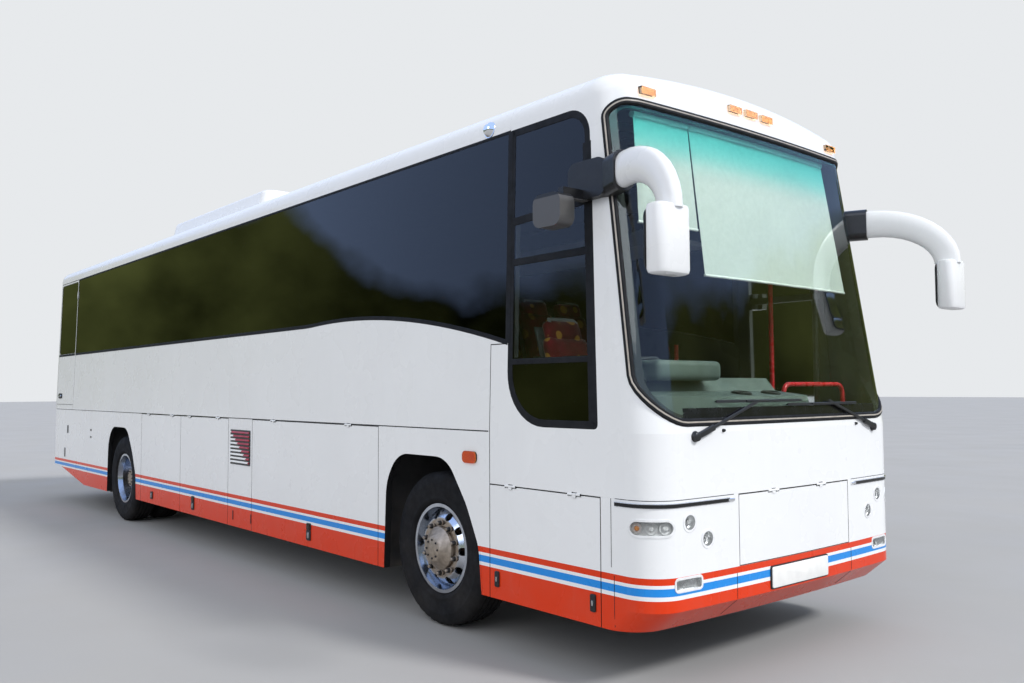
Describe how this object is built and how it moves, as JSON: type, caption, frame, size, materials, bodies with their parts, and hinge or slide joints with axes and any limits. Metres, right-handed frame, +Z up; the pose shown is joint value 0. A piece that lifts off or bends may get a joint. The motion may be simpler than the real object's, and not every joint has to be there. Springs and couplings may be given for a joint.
{
  "type": "coach bus",
  "caption": "High-floor touring coach with turning and steering wheels, a swinging entrance door, an emergency door and hinged luggage, locker and engine doors.",
  "frame": {"origin": "on the ground below the middle of the whole vehicle, mirrors included", "axes": "+X forward, +Y to the kerb side with the entrance door (the vehicle's left), +Z up"},
  "size_m": [12.3885, 3.215, 3.63],
  "materials": {
    "body_white": "gloss",
    "cab_white": "gloss",
    "dark_glass": "gloss",
    "clear_glass": "gloss",
    "steel_frame": "matt",
    "floor": "matt",
    "bay_lining": "satin",
    "wheel_steel": "satin",
    "tyre_rubber": "matt",
    "seat_moquette": "matt",
    "driver_moquette": "matt",
    "dash_plastic": "matt",
    "black_plastic": "satin",
    "mirror_white": "gloss",
    "rack_lining": "matt",
    "rail_red": "gloss",
    "axle_iron": "matt",
    "spring_rubber": "matt",
    "engine_iron": "matt",
    "arm_steel": "satin",
    "lamp_clear": "gloss",
    "lamp_amber": "gloss",
    "lamp_red": "gloss"
  },
  "bodies": {
    "coach": {"offside_wall": "body_white", "nearside_wall": "body_white", "roof_panel": "body_white", "front_cap": "cab_white", "rear_cap": "body_white", "offside_skirt": "body_white", "nearside_skirt": "body_white", "front_lower": "body_white", "rear_lower": "body_white", "windscreen": "clear_glass", "offside_glazing": "dark_glass", "nearside_glazing": "dark_glass", "rear_window": "dark_glass", "floor_deck": "floor", "chassis_frame": "steel_frame", "luggage_bay": "bay_lining", "wheel_boxes": "black_plastic", "cab_deck": "floor", "dashboard": "dash_plastic", "steering_wheel": "black_plastic", "passenger_seats": "seat_moquette", "driver_seat": "driver_moquette", "parcel_racks": "rack_lining", "guard_rails": "rail_red", "mirror_arms": "mirror_white", "mirror_brackets": "black_plastic", "wipers": "black_plastic", "aircon_pod": "body_white", "roof_hatches": "body_white", "engine_block": "engine_iron", "axles": "axle_iron", "air_springs": "spring_rubber", "front_lamps": "lamp_clear", "side_lamps": "lamp_amber", "rear_lamps": "lamp_red"},
    "steer_left": {"knuckle_left": "axle_iron"},
    "steer_right": {"knuckle_right": "axle_iron"},
    "wheel_front_left": {"front_left_tyre": "tyre_rubber", "front_left_rim": "wheel_steel"},
    "wheel_front_right": {"front_right_tyre": "tyre_rubber", "front_right_rim": "wheel_steel"},
    "wheels_rear_left": {"rear_left_tyres": "tyre_rubber", "rear_left_rims": "wheel_steel"},
    "wheels_rear_right": {"rear_right_tyres": "tyre_rubber", "rear_right_rims": "wheel_steel"},
    "door_swing_arms": {"door_arms": "arm_steel"},
    "entrance_leaf": {"entrance_door": "body_white", "entrance_glass": "dark_glass"},
    "emergency_leaf": {"emergency_door": "body_white", "emergency_glass": "dark_glass"},
    "offside_leaf_a": {"offside_door_a": "body_white"},
    "offside_leaf_b": {"offside_door_b": "body_white"},
    "offside_leaf_c": {"offside_door_c": "body_white"},
    "nearside_leaf_a": {"nearside_door_a": "body_white"},
    "nearside_leaf_b": {"nearside_door_b": "body_white"},
    "nearside_leaf_c": {"nearside_door_c": "body_white"},
    "locker_leaf": {"front_locker": "body_white"},
    "flap_leaf": {"front_flap": "body_white"},
    "engine_leaf": {"engine_door": "body_white"}
  },
  "joints": [
    {"name": "steering_left", "type": "hinge", "parent": "coach", "child": "steer_left", "pos_m": [3.83, 0.84, 0.515], "axis": [0, 0, 1], "range_deg": [-38, 38]},
    {"name": "steering_right", "type": "hinge", "parent": "coach", "child": "steer_right", "pos_m": [3.83, -0.84, 0.515], "axis": [0, 0, 1], "range_deg": [-38, 38]},
    {"name": "spin_front_left", "type": "hinge", "parent": "steer_left", "child": "wheel_front_left", "pos_m": [3.83, 1.05, 0.515], "axis": [0, 1, 0], "continuous": true},
    {"name": "spin_front_right", "type": "hinge", "parent": "steer_right", "child": "wheel_front_right", "pos_m": [3.83, -1.05, 0.515], "axis": [0, 1, 0], "continuous": true},
    {"name": "spin_rear_left", "type": "hinge", "parent": "coach", "child": "wheels_rear_left", "pos_m": [-2.76, 0.925, 0.515], "axis": [0, 1, 0], "continuous": true},
    {"name": "spin_rear_right", "type": "hinge", "parent": "coach", "child": "wheels_rear_right", "pos_m": [-2.76, -0.925, 0.515], "axis": [0, 1, 0], "continuous": true},
    {"name": "entrance_arms", "type": "hinge", "parent": "coach", "child": "door_swing_arms", "pos_m": [5.3, 1.12, 1.5], "axis": [0, 0, -1], "range_deg": [0, 95]},
    {"name": "entrance_leaf_pivot", "type": "hinge", "parent": "door_swing_arms", "child": "entrance_leaf", "pos_m": [4.78, 1.12, 1.5], "axis": [0, 0, 1], "range_deg": [0, 95]},
    {"name": "emergency_hinge", "type": "hinge", "parent": "coach", "child": "emergency_leaf", "pos_m": [-5.007, -1.251, 1.35], "axis": [0, 0.026, 0.9997], "range_deg": [0, 100]},
    {"name": "offside_a_hinge", "type": "hinge", "parent": "coach", "child": "offside_leaf_a", "pos_m": [0, -1.251, 1.32], "axis": [-1, 0, 0], "range_deg": [0, 85]},
    {"name": "offside_b_hinge", "type": "hinge", "parent": "coach", "child": "offside_leaf_b", "pos_m": [0, -1.251, 1.32], "axis": [-1, 0, 0], "range_deg": [0, 85]},
    {"name": "offside_c_hinge", "type": "hinge", "parent": "coach", "child": "offside_leaf_c", "pos_m": [0, -1.251, 1.32], "axis": [-1, 0, 0], "range_deg": [0, 85]},
    {"name": "nearside_a_hinge", "type": "hinge", "parent": "coach", "child": "nearside_leaf_a", "pos_m": [0, 1.251, 1.32], "axis": [1, 0, 0], "range_deg": [0, 85]},
    {"name": "nearside_b_hinge", "type": "hinge", "parent": "coach", "child": "nearside_leaf_b", "pos_m": [0, 1.251, 1.32], "axis": [1, 0, 0], "range_deg": [0, 85]},
    {"name": "nearside_c_hinge", "type": "hinge", "parent": "coach", "child": "nearside_leaf_c", "pos_m": [0, 1.251, 1.32], "axis": [1, 0, 0], "range_deg": [0, 85]},
    {"name": "locker_hinge", "type": "hinge", "parent": "coach", "child": "locker_leaf", "pos_m": [4.95, -1.251, 1], "axis": [-1, 0, 0], "range_deg": [0, 85]},
    {"name": "flap_hinge", "type": "hinge", "parent": "coach", "child": "flap_leaf", "pos_m": [5.836, 0, 1], "axis": [0, -1, 0], "range_deg": [0, 80]},
    {"name": "engine_hinge", "type": "hinge", "parent": "coach", "child": "engine_leaf", "pos_m": [-6.161, 0, 1.32], "axis": [0, 1, 0], "range_deg": [0, 80]}
  ],
  "couplings": [
    {"joint": "steering_right", "follows": "steering_left", "ratio": 1},
    {"joint": "entrance_leaf_pivot", "follows": "entrance_arms", "ratio": 1}
  ]
}
